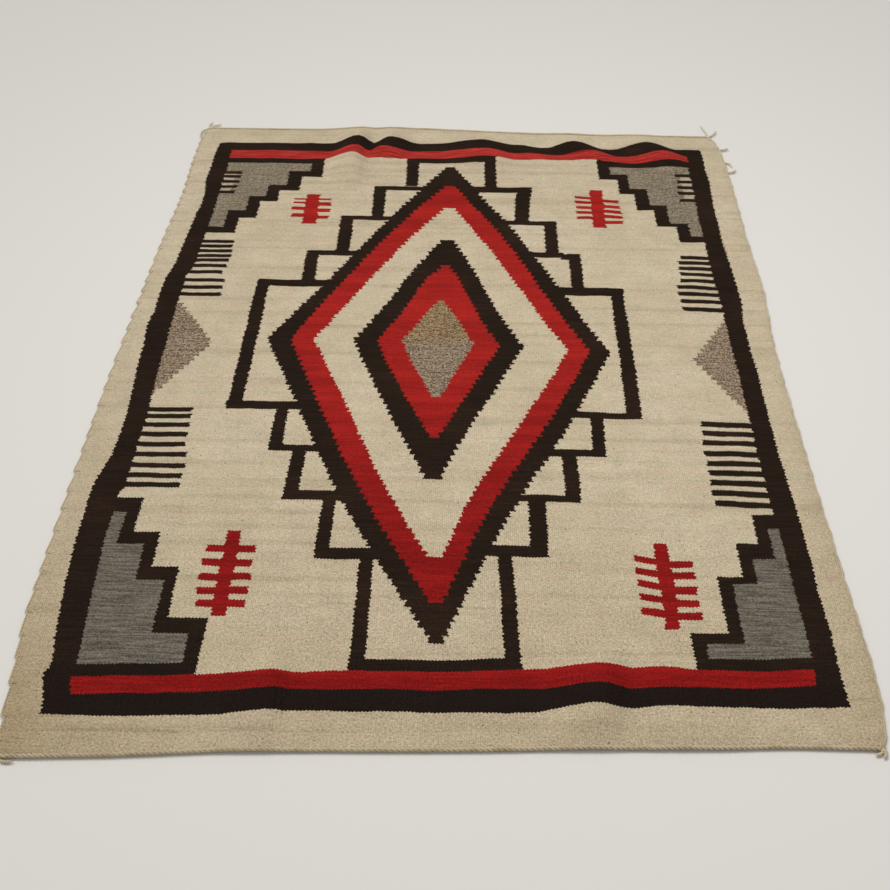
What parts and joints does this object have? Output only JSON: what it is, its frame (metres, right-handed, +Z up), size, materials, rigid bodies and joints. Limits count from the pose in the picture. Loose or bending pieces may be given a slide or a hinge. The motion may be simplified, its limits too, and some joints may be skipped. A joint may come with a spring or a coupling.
{
  "type": "navajo rug",
  "caption": "Flat handwoven wool rug with a dark and red border, a serrated lozenge and stepped figures, lying with shallow folds at its ends and short cord ends at its corners.",
  "frame": {"origin": "on the floor under the middle of the rug, on the flat underside of the cloth", "axes": "+Z up, +Y along the rug's length towards the end with the larger folds, +X across the rug to the right when looking along +Y"},
  "size_m": [1.2459, 1.6903, 0.0238],
  "materials": {
    "rug_wool": "matt handspun wool, weft-faced plain weave in cream, brown-black, red and heathered grey",
    "cord_wool": "matt plied wool cord, cream",
    "cord_end_wool": "matt loose ends of plied wool cord, light cream"
  },
  "bodies": {
    "root": {"rug_cloth": "rug_wool", "side_cord_left": "cord_wool", "side_cord_right": "cord_wool", "end_cord_near": "cord_wool", "end_cord_far": "cord_wool", "cord_ends_far_right": "cord_end_wool", "cord_ends_far_left": "cord_end_wool", "cord_ends_near_right": "cord_end_wool", "cord_ends_near_left": "cord_end_wool"}
  },
  "joints": []
}
